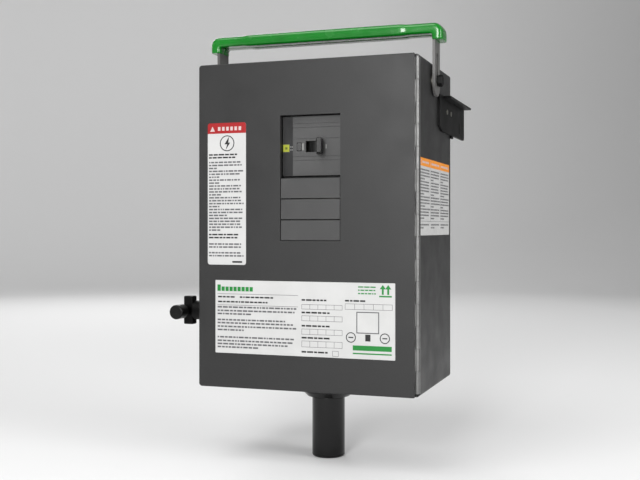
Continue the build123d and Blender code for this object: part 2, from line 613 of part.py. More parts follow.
with BuildPart() as breaker_toggle:
    tilt = math.radians(TOGGLE_TILT)
    along = Vector(math.sin(tilt), -math.cos(tilt), 0)
    across = Vector(math.cos(tilt), math.sin(tilt), 0)
    # A hub and a shutter that closes the slot, turned about the pivot
    with BuildSketch(Plane.XY.offset(CASE_MID_Z - DRUM_H / 2)) as drum_outline:
        with Locations((TOGGLE_X, TOGGLE_Y)):
            with BuildLine():
                half = 40.0
                start = TOGGLE_TILT - 90 - half
                arc = CenterArc((TOGGLE_X, TOGGLE_Y), TOGGLE_DRUM_R, start, 2 * half)
                Line(arc @ 1, (TOGGLE_X, TOGGLE_Y))
                Line((TOGGLE_X, TOGGLE_Y), arc @ 0)
            make_face()
            Circle(5.0)
    extrude(amount=DRUM_H)
    grip_plane = Plane(origin=toggle_pivot, x_dir=across, z_dir=along)
    with BuildSketch(grip_plane.offset(TOGGLE_DRUM_R - 2)):
        Rectangle(5.0, TOGGLE_SLOT_H - 1.2)
    extrude(amount=8.0)
    with BuildSketch(grip_plane.offset(28.8)):
        RectangleRounded(7.6, 19.4, 1.0)
    with BuildSketch(grip_plane.offset(46.0)):
        RectangleRounded(6.2, 18.2, 1.4)
    loft()
    tip = breaker_toggle.faces().sort_by(Axis(toggle_pivot, along))[-1]
    fillet(tip.edges(), 0.9)
    rod((TOGGLE_X, TOGGLE_Y, CASE_MID_Z - 12), UP, TOGGLE_PIN_R + 0.05, 24, Mode.SUBTRACT)
keep(breaker_toggle, "breaker_toggle")

with BuildPart() as toggle_pin:
    rod((TOGGLE_X, TOGGLE_Y, CASE_MID_Z - 12), UP, TOGGLE_PIN_R, 24)
keep(toggle_pin, "toggle_pin")

with BuildPart() as trip_button:
    button_z = (CASE_MID_Z - BUTTON_H / 2, CASE_MID_Z + BUTTON_H / 2)
    block(BUTTON_X, (FACE_Y - 0.6, FACE_Y + BUTTON_DEPTH), button_z)
    fillet(trip_button.edges().filter_by(Axis.Y), 1.6)
    fillet(trip_button.faces().sort_by(Axis.Y)[0].edges(), 0.4)
keep(trip_button, "trip_button")


def lug_row(x, label):
    """Three box lugs in a row, one to a pole, with a wire way along X."""
    with BuildPart() as lugs:
        for z in POLE_Z:
            block((x - 7, x + 7), LUG_Y, (z - LUG_HALF_Z, z + LUG_HALF_Z))
            rod((x - 8, WIRE_Y, z), RIGHT, LEAD_R + 0.1, 16, Mode.SUBTRACT)
            rod((x, LUG_Y[0] - 1, z), REAR, 3.5, LUG_Y[1] - LUG_Y[0] - 6, Mode.SUBTRACT)
    keep(lugs, label)


line_lug_x = LUG_X[0] + 7
load_lug_x = end_sum - line_lug_x
lug_row(line_lug_x, "line_lugs")
lug_row(load_lug_x, "load_lugs")

with BuildPart() as lug_screws:
    for x in (line_lug_x, load_lug_x):
        for z in POLE_Z:
            rod((x, CASE_SPLIT_Y - 4, z), REAR, 3.5, 12)
            with Locations(Plane(origin=(x, CASE_SPLIT_Y - 4, z), z_dir=FRONT)):
                Box(1.0, 5.0, 2.4, mode=Mode.SUBTRACT)
keep(lug_screws, "lug_screws")

with BuildPart() as breaker_badge:
    badge_x = (FACE_X[0] + BADGE_INSET, FACE_X[0] + BADGE_INSET + BADGE_W)
    badge_z = (CASE_MID_Z + BADGE_ABOVE_MID[0], CASE_MID_Z + BADGE_ABOVE_MID[1])
    block(badge_x, (FACE_Y - BADGE_T, FACE_Y), badge_z)
keep(breaker_badge, "breaker_badge")

# ---------------------------------------------------------------- breaker bracket
with BuildPart() as breaker_bracket:
    plate_y = (CASE_REAR_Y, CASE_REAR_Y + BRACKET_T)
    foot_y = (-SHEET - BRACKET_T, -SHEET)
    block(BRACKET_X, plate_y, BRACKET_Z)
    for x, way in ((BRACKET_X[0], -1), (BRACKET_X[1], 1)):
        leg_x = sorted((x, x - way * BRACKET_T))
        foot_x = sorted((x - way * BRACKET_T, x + way * BRACKET_FOOT))
        block(leg_x, (plate_y[1], foot_y[1]), BRACKET_Z)
        block(foot_x, foot_y, BRACKET_Z)
        # The leads pass through a window in each leg.
        block((leg_x[0] - 1, leg_x[1] + 1), LEAD_WINDOW_Y, LEAD_WINDOW_Z, Mode.SUBTRACT)
keep(breaker_bracket, "breaker_bracket")

with BuildPart() as bracket_screws:
    for x in (BRACKET_X[0] - 8, BRACKET_X[1] + 8):
        for z in (BRACKET_Z[0] + 6, BRACKET_Z[1] - 6):
            cross_head(x, foot_y[0], z, 4.5)
keep(bracket_screws, "bracket_screws")

# ---------------------------------------------------------------- plug-in stabs
with BuildPart() as stab_base:
    block((-STAB_HALF_W, STAB_HALF_W), (STAB_FRONT_Y, STAB_REAR_Y), STAB_BLOCK_Z)
    flange_z = (STAB_BLOCK_Z[0] - STAB_FLANGE, STAB_BLOCK_Z[1] + STAB_FLANGE)
    flange_x = (-STAB_HALF_W - STAB_FLANGE, STAB_HALF_W + STAB_FLANGE)
    block(flange_x, (STAB_FRONT_Y, -SHEET), flange_z)
    fillet(stab_base.faces().sort_by(Axis.Y)[-1].edges(), 2.0)
    for z in STAB_Z:
        slot_x = (-STAB_SLOT_HALF_X, STAB_SLOT_HALF_X)
        slot_z = (z - STAB_SLOT_HALF_Z, z + STAB_SLOT_HALF_Z)
        block(slot_x, (STAB_SLOT_FLOOR_Y, STAB_REAR_Y + 1), slot_z, Mode.SUBTRACT)
        tail_z = (z - TAIL_T / 2, z + TAIL_T / 2)
        tail_way_y = (STAB_FRONT_Y - 1, STAB_SLOT_FLOOR_Y + 1)
        block((-TAIL_HALF_X, TAIL_HALF_X), tail_way_y, tail_z, Mode.SUBTRACT)
keep(stab_base, "stab_base")

with BuildPart() as stab_jaws:
    for number, z in enumerate(STAB_Z):
        reach = -TAIL_REACH if number < 4 else TAIL_REACH
        # The tail passes through the base, and its terminal stands to one side.
        jaw_x = (-JAW_HALF_X, JAW_HALF_X)
        jaw_back_y = (STAB_SLOT_FLOOR_Y + 0.2, STAB_SLOT_FLOOR_Y + 2)
        tail_z = (z - TAIL_T / 2, z + TAIL_T / 2)
        block((-TAIL_HALF_X, TAIL_HALF_X), (TAIL_FRONT_Y, jaw_back_y[1]), tail_z)
        tongue_x = sorted((reach, -math.copysign(TAIL_HALF_X, reach)))
        block(tongue_x, (TAIL_FRONT_Y - 2, TAIL_FRONT_Y + 10), tail_z)
        # Two spring tines grip a bus bar between them.
        jaw_half_z = JAW_GAP / 2 + TINE_T
        block(jaw_x, jaw_back_y, (z - jaw_half_z, z + jaw_half_z))
        for way in (-1, 1):
            tine_z = sorted((z + way * JAW_GAP / 2, z + way * jaw_half_z))
            block(jaw_x, (jaw_back_y[1], TINE_END_Y), tine_z)
keep(stab_jaws, "stab_jaws")

with BuildPart() as stab_screws:
    for x in (-STAB_HALF_W - 5, STAB_HALF_W + 5):
        for z in (STAB_BLOCK_Z[0] - 5, STAB_BLOCK_Z[1] + 5):
            cross_head(x, STAB_FRONT_Y, z, 4.0)
keep(stab_screws, "stab_screws")

# ---------------------------------------------------------------- internal leads
CRIMP_R = 4.4
CRIMP_L = 12.0
TONGUE_T = 1.6
LEAD_BEND_R = 11.0
TERMINAL_Y = -18.0


def lead(label, number, route):
    """An insulated lead with a crimped tongue on its stab terminal, then the route in millimetres."""
    z = STAB_Z[number]
    way = -1 if route[0][0] < 0 else 1
    tongue_z = (z + TAIL_T / 2, z + TAIL_T / 2 + TONGUE_T)
    crimp_end = way * (TAIL_REACH + 2 + CRIMP_L)
    core_z = tongue_z[1] + LEAD_R
    points = [(crimp_end, TERMINAL_Y, core_z)] + route
    with BuildPart() as wire:
        block(sorted((way * 18, way * (TAIL_REACH + 4))), (TERMINAL_Y - 5, TERMINAL_Y + 5), tongue_z)
        rod((way * (TAIL_REACH + 2), TERMINAL_Y, core_z), RIGHT * way, CRIMP_R, CRIMP_L)
        with BuildLine() as path:
            FilletPolyline(*points, radius=LEAD_BEND_R)
        with BuildSketch(Plane(origin=path.line @ 0, z_dir=path.line % 0)):
            Circle(LEAD_R)
        sweep(path=path.line)
    keep(wire, label)


wire_z = [z + TAIL_T / 2 + TONGUE_T + LEAD_R for z in STAB_Z]
lug_end_x = line_lug_x - 4
for number, letter in enumerate("abc"):
    pole = POLE_Z[number]
    lead(
        f"line_lead_{letter}",
        number,
        [
            (-70, TERMINAL_Y, wire_z[number]),
            (-98, TERMINAL_Y - 22, (2 * wire_z[number] + pole) / 3),
            (-104, -80, (wire_z[number] + 2 * pole) / 3),
            (-96, WIRE_Y, pole),
            (lug_end_x, WIRE_Y, pole),
        ],
    )

bar_wire_y = (BAR_Y[0] + BAR_Y[1]) / 2
way_pitch = (BAR_X[1] - BAR_X[0]) / BAR_WAYS
way_x = [BAR_X[0] + way_pitch * (k + 0.5) for k in range(BAR_WAYS)]
for label, number, way in (("neutral_lead", 3, -1), ("ground_lead", 4, 1)):
    end_x = way * way_x[4]
    lead(
        label,
        number,
        [
            (way * 78, TERMINAL_Y, wire_z[number]),
            (end_x, bar_wire_y, wire_z[number] - 24),
            (end_x, bar_wire_y, BAR_Z[0] + 3),
        ],
    )


# ---------------------------------------------------------------- terminal bars
def terminal_bar(way, label, foot_label):
    """A drilled bar on two feet, with a clamp screw over each wire way."""
    with BuildPart() as bar:
        block(sorted((way * BAR_X[0], way * BAR_X[1])), BAR_Y, BAR_Z)
        chamfer(bar.edges().filter_by(Axis.X), 0.6)
        for x in way_x:
            rod((way * x, bar_wire_y, BAR_Z[0] - 1), UP, LEAD_R + 0.1, BAR_Z[1] - BAR_Z[0] + 2, Mode.SUBTRACT)
            rod((way * x, BAR_Y[0], (BAR_Z[0] + BAR_Z[1]) / 2), REAR, 2.6, 3.0, Mode.SUBTRACT)
    keep(bar, label)
    with BuildPart() as feet:
        for x in (way_x[0] + way_pitch / 2, way_x[-1] - way_pitch / 2):
            foot_x = sorted((way * (x - 4), way * (x + 4)))
            block(foot_x, (BAR_Y[1], -SHEET), (BAR_Z[0] - 3, BAR_Z[1] + 3))
        chamfer(feet.edges().filter_by(Axis.Y), 1.0)
    keep(feet, foot_label)


terminal_bar(-1, "neutral_bar", "neutral_bar_insulators")
terminal_bar(1, "ground_bar", "ground_bar_feet")

with BuildPart() as bar_screws:
    for x in [-x for x in way_x] + way_x:
        head = (x, BAR_Y[0] - 2.5, (BAR_Z[0] + BAR_Z[1]) / 2)
        rod(head, REAR, 2.6, 4.8)
        rod(head, REAR, 3.6, 2.0)
        with Locations(Plane(origin=head, z_dir=FRONT)):
            Box(8.0, 1.0, 1.8, mode=Mode.SUBTRACT)
keep(bar_screws, "bar_screws")

# ---------------------------------------------------------------- latch
latch_start = (-HALF_W, LATCH_Y, LATCH_Z)
with BuildPart() as latch_boss:
    rod(latch_start, -RIGHT, LATCH_BOSS_R, LATCH_BOSS_L)
    fillet(latch_boss.faces().sort_by(Axis.X)[0].edges(), 1.5)
    rod(latch_start, -RIGHT, LATCH_R + LATCH_FIT, LATCH_BOSS_L, Mode.SUBTRACT)
keep(latch_boss, "latch_boss")

with BuildPart() as latch_boss_nut:
    rod((-INNER_X, LATCH_Y, LATCH_Z), RIGHT, 5.8, 4.5)
    rod((-INNER_X, LATCH_Y, LATCH_Z), RIGHT, LATCH_R + 0.4, 4.5, Mode.SUBTRACT)
keep(latch_boss_nut, "latch_boss_nut")

with BuildPart() as latch_shaft:
    rod((LEVER_X[0], LATCH_Y, LATCH_Z), RIGHT, LATCH_R, CAM_X[1] + 4 - LEVER_X[0])
keep(latch_shaft, "latch_shaft")

with BuildPart() as latch_lever:
    lever_y = (LATCH_Y - LEVER_W / 2, LATCH_Y + LEVER_W / 2)
    block(LEVER_X, lever_y, (LATCH_Z - LEVER_H / 2, LATCH_Z + LEVER_H / 2))
    fillet(latch_lever.edges().filter_by(Axis.X), 2.0)
    fillet(latch_lever.edges().filter_by(Axis.Z), 1.5)
    # The neck flares into the bar.
    lever_mid_x = (LEVER_X[0] + LEVER_X[1]) / 2
    with Locations(Plane(origin=(lever_mid_x, LATCH_Y, LATCH_Z), z_dir=FRONT)):
        Cone(6.4, 5.4, LATCH_Y - KNOB_Y[1], align=(Align.CENTER, Align.CENTER, Align.MIN))
    rod((LEVER_X[0], LATCH_Y, LATCH_Z), RIGHT, LATCH_R, LEVER_X[1] - LEVER_X[0], Mode.SUBTRACT)
keep(latch_lever, "latch_lever")

with BuildPart() as latch_knob:
    rod((lever_mid_x, KNOB_Y[1], LATCH_Z), FRONT, KNOB_R, KNOB_Y[1] - KNOB_Y[0])
    fillet(latch_knob.faces().sort_by(Axis.Y)[0].edges(), 1.6)
    fillet(latch_knob.faces().sort_by(Axis.Y)[-1].edges(), 1.0)
keep(latch_knob, "latch_knob")

with BuildPart() as latch_cam:
    with BuildSketch(Plane.YZ.offset(CAM_X[0])):
        with Locations((LATCH_Y, LATCH_Z)):
            Circle(8.0)
        with Locations((LATCH_Y, LATCH_Z + (CAM_L - 5) / 2)):
            Rectangle(10, CAM_L - 5)
        with Locations((LATCH_Y, LATCH_Z + CAM_L - 5)):
            Circle(5.0)
        with Locations((LATCH_Y, LATCH_Z)):
            Circle(LATCH_R, mode=Mode.SUBTRACT)
    extrude(amount=CAM_X[1] - CAM_X[0])
keep(latch_cam, "latch_cam")

with BuildPart() as latch_cam_nut:
    hexagon((CAM_X[1], LATCH_Y, LATCH_Z), RIGHT, 10.0, 3.5)
    rod((CAM_X[1], LATCH_Y, LATCH_Z), RIGHT, LATCH_R, 3.5, Mode.SUBTRACT)
keep(latch_cam_nut, "latch_cam_nut")

with BuildPart() as latch_strike:
    # The lip stands behind the cam, a little to its side.
    lip_x = CAM_X[1] + STRIKE_GAP
    leg_x = (lip_x + SHEET, lip_x + 2 * SHEET)
    strike_z = (LATCH_Z + 8, LATCH_Z + 24)
    block((leg_x[0], lip_x + 16), (SKIN_REAR_Y, SKIN_REAR_Y + SHEET), strike_z)
    block(leg_x, (SKIN_REAR_Y, STRIKE_REAR_Y), strike_z)
    block((lip_x, leg_x[1]), (STRIKE_REAR_Y - SHEET, STRIKE_REAR_Y), strike_z)
keep(latch_strike, "latch_strike")

# ---------------------------------------------------------------- labels
def film(plane, across, up, radius, label):
    """A printed film on the plane, between its limits across and up."""
    with BuildPart() as sheet:
        with BuildSketch(plane):
            with Locations((sum(across) / 2, sum(up) / 2)):
                RectangleRounded(across[1] - across[0], up[1] - up[0], radius)
        extrude(amount=LABEL_T)
    keep(sheet, label)


film(front_plane(FRONT_Y), DANGER_X, DANGER_Z, DANGER_LABEL_R, "danger_label")
film(front_plane(FRONT_Y), RATING_X, RATING_Z, RATING_LABEL_R, "rating_label")
film(Plane.YZ.offset(HALF_W), SIDE_LABEL_Y, SIDE_LABEL_Z, SIDE_LABEL_R, "side_label")

# ---------------------------------------------------------------- files
os.makedirs("parts", exist_ok=True)
for piece in pieces:
    export_step(piece, f"parts/{piece.label}.step")
print(len(pieces), "pieces")
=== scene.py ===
"""The looks of a plug-in power distribution box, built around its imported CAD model.

Metres, in the CAD frame: x = 0 is the centre plane, y = 0 the rear face of the box and z = 0 the
lower edge of the hooks. The door faces -Y. Label positions are in millimetres on the label itself.
"""

import json
import math
import random

import bmesh
import bpy
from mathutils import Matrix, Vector


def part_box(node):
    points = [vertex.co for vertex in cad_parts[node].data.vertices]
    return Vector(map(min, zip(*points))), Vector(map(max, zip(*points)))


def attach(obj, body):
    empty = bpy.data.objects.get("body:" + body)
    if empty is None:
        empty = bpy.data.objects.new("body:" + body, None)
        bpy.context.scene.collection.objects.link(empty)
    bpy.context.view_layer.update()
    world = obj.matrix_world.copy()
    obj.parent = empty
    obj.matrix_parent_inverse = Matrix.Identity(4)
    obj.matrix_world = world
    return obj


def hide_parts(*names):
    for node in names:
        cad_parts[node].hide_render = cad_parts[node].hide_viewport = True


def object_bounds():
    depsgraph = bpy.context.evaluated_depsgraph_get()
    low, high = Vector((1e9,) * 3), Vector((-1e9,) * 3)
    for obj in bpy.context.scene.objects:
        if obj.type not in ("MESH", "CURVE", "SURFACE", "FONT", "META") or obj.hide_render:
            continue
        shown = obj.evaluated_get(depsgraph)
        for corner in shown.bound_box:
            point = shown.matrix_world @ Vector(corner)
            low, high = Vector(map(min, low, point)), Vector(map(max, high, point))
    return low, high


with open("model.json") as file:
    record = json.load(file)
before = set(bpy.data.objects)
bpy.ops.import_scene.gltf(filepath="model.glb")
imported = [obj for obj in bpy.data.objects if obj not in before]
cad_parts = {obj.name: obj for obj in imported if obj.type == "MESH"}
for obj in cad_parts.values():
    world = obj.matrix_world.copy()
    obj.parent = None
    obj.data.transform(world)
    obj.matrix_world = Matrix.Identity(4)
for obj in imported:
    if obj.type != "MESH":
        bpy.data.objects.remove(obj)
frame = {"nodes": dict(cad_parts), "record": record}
cad_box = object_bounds()

MM = 0.001
NOISE_LOW = 0.35
NOISE_HIGH = 0.65
FLAT_DOT = 0.995
SHARP_DOT = 0.86
INK_T = 0.05 * MM
INK_SUNK = 0.02 * MM


# ---------------------------------------------------------------- camera
def make_camera():
    """Level, at the height of the box's middle, to the right of its front."""
    data = bpy.data.cameras.new("camera")
    data.lens = 54.56
    data.sensor_width = 36.0
    data.shift_y = -0.01875
    camera = bpy.data.objects.new("camera", data)
    bpy.context.scene.collection.objects.link(camera)
    camera.location = (0.4047, -1.2813, -0.1232)
    camera.rotation_mode = "QUATERNION"
    camera.rotation_quaternion = Vector((-0.3305, 0.9438, 0)).to_track_quat("-Z", "Y")
    bpy.context.scene.camera = camera


make_camera()
# Plain display colours, so that the paints and inks below show as they are named.
bpy.context.scene.view_settings.view_transform = "Standard"


# ---------------------------------------------------------------- node materials
def rgb(red, green, blue):
    """A linear colour from 0 to 255 display values."""
    def linear(value):
        part = value / 255
        return part / 12.92 if part <= 0.04045 else ((part + 0.055) / 1.055) ** 2.4
    return tuple(linear(value) for value in (red, green, blue)) + (1.0,)


def shade(colour, factor):
    """The same colour, lighter or darker."""
    return tuple(min(1.0, part * factor) for part in colour[:3]) + (1.0,)


class Surface:
    """A material in the making: a Principled shader and the nodes that feed it."""

    def __init__(self, name, **settings):
        self.material = bpy.data.materials.new(name)
        self.material.use_nodes = True
        self.nodes = self.material.node_tree.nodes
        self.links = self.material.node_tree.links
        self.nodes.clear()
        self.shader = self.nodes.new("ShaderNodeBsdfPrincipled")
        output = self.nodes.new("ShaderNodeOutputMaterial")
        self.links.new(self.shader.outputs["BSDF"], output.inputs["Surface"])
        self.place = self.nodes.new("ShaderNodeTexCoord").outputs["Object"]
        for socket, value in settings.items():
            self.shader.inputs[socket.replace("_", " ")].default_value = value

    def feed(self, socket, source):
        """Joins a node's output to an input of the shader."""
        self.links.new(source, self.shader.inputs[socket])

    def stretched(self, x, y, z):
        """Coordinates scaled by axis, so that a pattern on them runs long where the scale is low."""
        node = self.nodes.new("ShaderNodeMapping")
        node.inputs["Scale"].default_value = (x, y, z)
        self.links.new(self.place, node.inputs["Vector"])
        return node.outputs["Vector"]

    def noise(self, scale, detail=2.0, seed=0.0, place=None):
        """Cloudy noise, with scale in features to the metre."""
        node = self.nodes.new("ShaderNodeTexNoise")
        node.noise_dimensions = "4D"
        node.inputs["Scale"].default_value = scale
        node.inputs["Detail"].default_value = detail
        node.inputs["W"].default_value = seed
        self.links.new(place or self.place, node.inputs["Vector"])
        return node.outputs["Fac"]

    def cells(self, scale):
        """Small round cells, as in a leathery powder coat."""
        node = self.nodes.new("ShaderNodeTexVoronoi")
        node.feature = "SMOOTH_F1"
        node.inputs["Scale"].default_value = scale
        self.links.new(self.place, node.inputs["Vector"])
        return node.outputs["Distance"]

    def spread(self, source, low, high, start=NOISE_LOW, end=NOISE_HIGH):
        """The part of a source from start to end, mapped to low and high."""
        node = self.nodes.new("ShaderNodeMapRange")
        node.inputs["From Min"].default_value = start
        node.inputs["From Max"].default_value = end
        node.inputs["To Min"].default_value = low
        node.inputs["To Max"].default_value = high
        self.links.new(source, node.inputs["Value"])
        return node.outputs["Result"]

    def times(self, one, other):
        """The product of two sources."""
        node = self.nodes.new("ShaderNodeMath")
        node.operation = "MULTIPLY"
        self.links.new(one, node.inputs[0])
        self.links.new(other, node.inputs[1])
        return node.outputs["Value"]

    def blend(self, share, one, other):
        """From one colour to the other as share goes from 0 to 1."""
        node = self.nodes.new("ShaderNodeMix")
        node.data_type = "RGBA"
        self.links.new(share, node.inputs["Factor"])
        for socket, colour in ((node.inputs[6], one), (node.inputs[7], other)):
            if isinstance(colour, tuple):
                socket.default_value = colour
            else:
                self.links.new(colour, socket)
        return node.outputs[2]

    def edges(self, radius):
        """1 along sharp edges and 0 on flat faces."""
        bevel = self.nodes.new("ShaderNodeBevel")
        bevel.samples = 4
        bevel.inputs["Radius"].default_value = radius
        geometry = self.nodes.new("ShaderNodeNewGeometry")
        node = self.nodes.new("ShaderNodeVectorMath")
        node.operation = "DOT_PRODUCT"
        self.links.new(bevel.outputs["Normal"], node.inputs[0])
        self.links.new(geometry.outputs["Normal"], node.inputs[1])
        return self.spread(node.outputs["Value"], 1.0, 0.0, SHARP_DOT, FLAT_DOT)

    def relief(self, *layers):
        """Bumps the surface with (height source, depth in metres) layers."""
        normal = None
        for height, depth in layers:
            node = self.nodes.new("ShaderNodeBump")
            node.inputs["Strength"].default_value = 1.0
            node.inputs["Distance"].default_value = depth
            self.links.new(height, node.inputs["Height"])
            if normal:
                self.links.new(normal, node.inputs["Normal"])
            normal = node.outputs["Normal"]
        self.feed("Normal", normal)


def coated(name, colour, roughness, grain=0.010, worn=0.35, **settings):
    """Paint or powder coat on steel: orange peel, faint clouds, and edges rubbed lighter."""
    s = Surface(name, **settings)
    body = s.blend(s.spread(s.noise(7, 4), 0, 1), shade(colour, 0.93), shade(colour, 1.07))
    body = s.blend(s.spread(s.noise(520, 2, 3.0), 0, 0.35), body, shade(colour, 1.5))
    rubbed = s.times(s.edges(1.1 * MM), s.spread(s.noise(70, 4, 5.0), 0, worn))
    s.feed("Base Color", s.blend(rubbed, body, shade(colour, 3.2)))
    s.feed("Roughness", s.spread(s.noise(28, 3, 1.0), roughness - 0.05, roughness + 0.05))
    s.relief((s.noise(14, 2, 7.0), 0.02 * MM), (s.cells(800), grain * MM))
    return s.material


def plated(name, colour, roughness, along=(1, 1, 1), streaks=0.004):
    """Bare or plated metal with a brushed grain: long where along is low."""
    s = Surface(name, Metallic=1.0)
    grain = s.noise(900, 2, 2.0, s.stretched(*along))
    body = s.blend(s.spread(s.noise(45, 4), 0, 1), shade(colour, 0.80), colour)
    s.feed("Base Color", s.blend(s.spread(grain, 0, 0.3), body, shade(colour, 0.6)))
    s.feed("Roughness", s.spread(s.noise(120, 3, 4.0), roughness - 0.08, roughness + 0.10))
    s.relief((grain, streaks * MM))
    return s.material


def moulded(name, colour, roughness, grain=0.006, **settings):
    """Moulded plastic: a fine spark-eroded grain, and slow changes of tone."""
    s = Surface(name, **settings)
    tone = s.blend(s.spread(s.noise(30, 3), 0, 1), shade(colour, 0.92), shade(colour, 1.08))
    s.feed("Base Color", tone)
    s.feed("Roughness", s.spread(s.noise(90, 3, 2.0), roughness - 0.05, roughness + 0.06))
    s.relief((s.noise(25, 2, 6.0), 0.05 * MM), (s.noise(2600, 2, 4.0), grain * MM))
    return s.material


def glossy(name, colour, roughness, coat, **settings):
    """A deep, slightly wavy gloss: dipped or lacquered."""
    s = Surface(name, Coat_Weight=coat, Coat_Roughness=0.06, **settings)
    tone = s.blend(s.spread(s.noise(24, 3), 0, 1), shade(colour, 0.9), shade(colour, 1.12))
    s.feed("Base Color", tone)
    s.feed("Roughness", s.spread(s.noise(60, 3, 2.0), roughness - 0.04, roughness + 0.07))
    s.relief((s.noise(55, 1, 3.0), 0.12 * MM), (s.noise(1400, 2, 8.0), 0.002 * MM))
    return s.material


def film(name, colour, roughness=0.42):
    """Printed vinyl: an even film with a slight ripple and faint handling marks."""
    s = Surface(name, Specular_IOR_Level=0.4)
    s.feed("Base Color", s.blend(s.spread(s.noise(35, 5), 0, 1), shade(colour, 0.94), colour))
    s.feed("Roughness", s.spread(s.noise(80, 3, 2.0), roughness - 0.06, roughness + 0.06))
    s.relief((s.noise(60, 2, 4.0), 0.03 * MM))
    return s.material


def insulation(name, colour):
    """A lead's extruded insulation, with faint draw lines."""
    s = Surface(name, Coat_Weight=0.15)
    tone = s.blend(s.spread(s.noise(50, 3), 0, 1), shade(colour, 0.88), shade(colour, 1.1))
    s.feed("Base Color", tone)
    s.feed("Roughness", s.spread(s.noise(150, 2, 2.0), 0.38, 0.52))
    s.relief((s.noise(700, 2, 1.0), 0.01 * MM))
    return s.material


FINISH = {
    "enclosure_paint": coated("enclosure_paint", rgb(26, 26, 26), 0.46, IOR=1.48),
    "hinge_steel": plated("hinge_steel", rgb(132, 132, 131), 0.46, (1, 1, 0.05), 0.001),
    "zinc_steel": plated("zinc_steel", rgb(150, 148, 140), 0.36),
    "black_steel": coated("black_steel", rgb(7, 7, 7), 0.48, worn=0.3, IOR=1.22),
    "black_plastic": moulded("black_plastic", rgb(6, 6, 6), 0.32, IOR=1.33),
    "conduit_black": glossy("conduit_black", rgb(2, 2, 2), 0.12, 0.0, IOR=1.40),
    "blank_plastic": moulded("blank_plastic", rgb(60, 60, 60), 0.46, IOR=1.42),
    "breaker_plastic": moulded("breaker_plastic", rgb(68, 68, 68), 0.46, IOR=1.42),
    "button_plastic": moulded("button_plastic", rgb(62, 62, 62), 0.40),
    "badge_yellow": film("badge_yellow", rgb(150, 156, 40)),
    "strap_steel": coated("strap_steel", rgb(80, 79, 78), 0.38, 0.006),
    "grip_green": glossy("grip_green", rgb(4, 112, 24), 0.22, 0.3, IOR=1.42),
    "label_vinyl": film("label_vinyl", rgb(190, 190, 189)),
    "copper": plated("copper", rgb(184, 120, 84), 0.30, (1, 0.1, 1)),
    "lug_aluminium": plated("lug_aluminium", rgb(176, 177, 179), 0.38, (0.08, 1, 1)),
    "lead_black": insulation("lead_black", rgb(14, 14, 14)),
    "lead_white": insulation("lead_white", rgb(196, 195, 188)),
    "lead_green": insulation("lead_green", rgb(10, 96, 34)),
}
INK = {
    "black": film("ink_black", rgb(26, 26, 27), 0.44),
    "grey": film("ink_grey", rgb(88, 88, 90), 0.44),
    "white": film("ink_white", rgb(196, 176, 174), 0.44),
    "silver": film("ink_silver", rgb(128, 128, 126), 0.44),
    "red": film("ink_red", rgb(150, 8, 14), 0.50),
    "orange": film("ink_orange", rgb(226, 138, 30), 0.50),
    "green": film("ink_green", rgb(16, 120, 44), 0.38),
    "dark_band": film("ink_dark_band", rgb(24, 24, 25), 0.40),
    "badge_mark": film("ink_badge_mark", rgb(84, 92, 20), 0.40),
}


def paint(piece, material):
    """Gives every slot of a piece the material."""
    if not piece.material_slots:
        piece.data.materials.append(material)
    for number in range(len(piece.material_slots)):
        piece.material_slots[number].material = material


for subpart in frame["record"]["subparts"]:
    paint(frame["nodes"][subpart["node"]], FINISH[subpart["material_slot"]])


# ---------------------------------------------------------------- pieces
def finished(work, name):
    """The mesh of a bmesh that is done with."""
    mesh = bpy.data.meshes.new(name)
    work.to_mesh(mesh)
    work.free()
    return mesh


def make_piece(name, mesh, body, material):
    """A finished mesh as a named piece that rides on a body."""
    piece = bpy.data.objects.new(name, mesh)
    bpy.context.scene.collection.objects.link(piece)
    paint(piece, material)
    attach(piece, body)
    return piece


def print_ink(name, body, place, outlines, ink):
    """Flat outlines in millimetres on a label, raised a hair above it, in one ink."""
    work = bmesh.new()
    for outline in outlines:
        low = [work.verts.new(place(u, v, -INK_SUNK)) for u, v in outline]
        high = [work.verts.new(place(u, v, INK_T)) for u, v in outline]
        work.faces.new(low)
        work.faces.new(high)
        for k in range(len(outline)):
            after = (k + 1) % len(outline)
            work.faces.new((low[k], low[after], high[after], high[k]))
    bmesh.ops.recalc_face_normals(work, faces=work.faces)
    return make_piece(name, finished(work, name), body, INK[ink])


def bar(u0, u1, v0, v1):
    """A rectangle."""
    return [(u0, v0), (u1, v0), (u1, v1), (u0, v1)]


def frame_of(u0, u1, v0, v1, line):
    """The four sides of a rectangle's outline, as bars that only touch."""
    return [
        bar(u0, u1, v0, v0 + line),
        bar(u0, u1, v1 - line, v1),
        bar(u0, u0 + line, v0 + line, v1 - line),
        bar(u1 - line, u1, v0 + line, v1 - line),
    ]


def ring(u, v, outer, inner, steps=24):
    """A ring as a row of four-sided pieces."""
    def at(radius, k):
        angle = 2 * math.pi * k / steps
        return u + radius * math.cos(angle), v + radius * math.sin(angle)
    return [[at(outer, k), at(outer, k + 1), at(inner, k + 1), at(inner, k)] for k in range(steps)]


GAP_PER_HEIGHT = 0.45
GAP_LEAST = 0.25


def words(rng, u0, u1, v, height, shortest=1.6, longest=7.0):
    """A greeked line of print: word-long dashes with gaps between them."""
    dashes = []
    u = u0
    while u < u1 - shortest:
        end = min(u1, u + rng.uniform(shortest, longest))
        dashes.append(bar(u, end, v, v + height))
        u = end + GAP_PER_HEIGHT * height + GAP_LEAST
    return dashes


def paragraph(rng, u0, u1, v_list, height, short_last=True):
    """Greeked lines with a ragged right edge."""
    lines = []
    for number, v in enumerate(v_list):
        last = short_last and number == len(v_list) - 1
        share = rng.uniform(0.25, 0.6) if last else rng.uniform(0.86, 1.0)
        lines += words(rng, u0, u0 + share * (u1 - u0), v, height)
    return lines


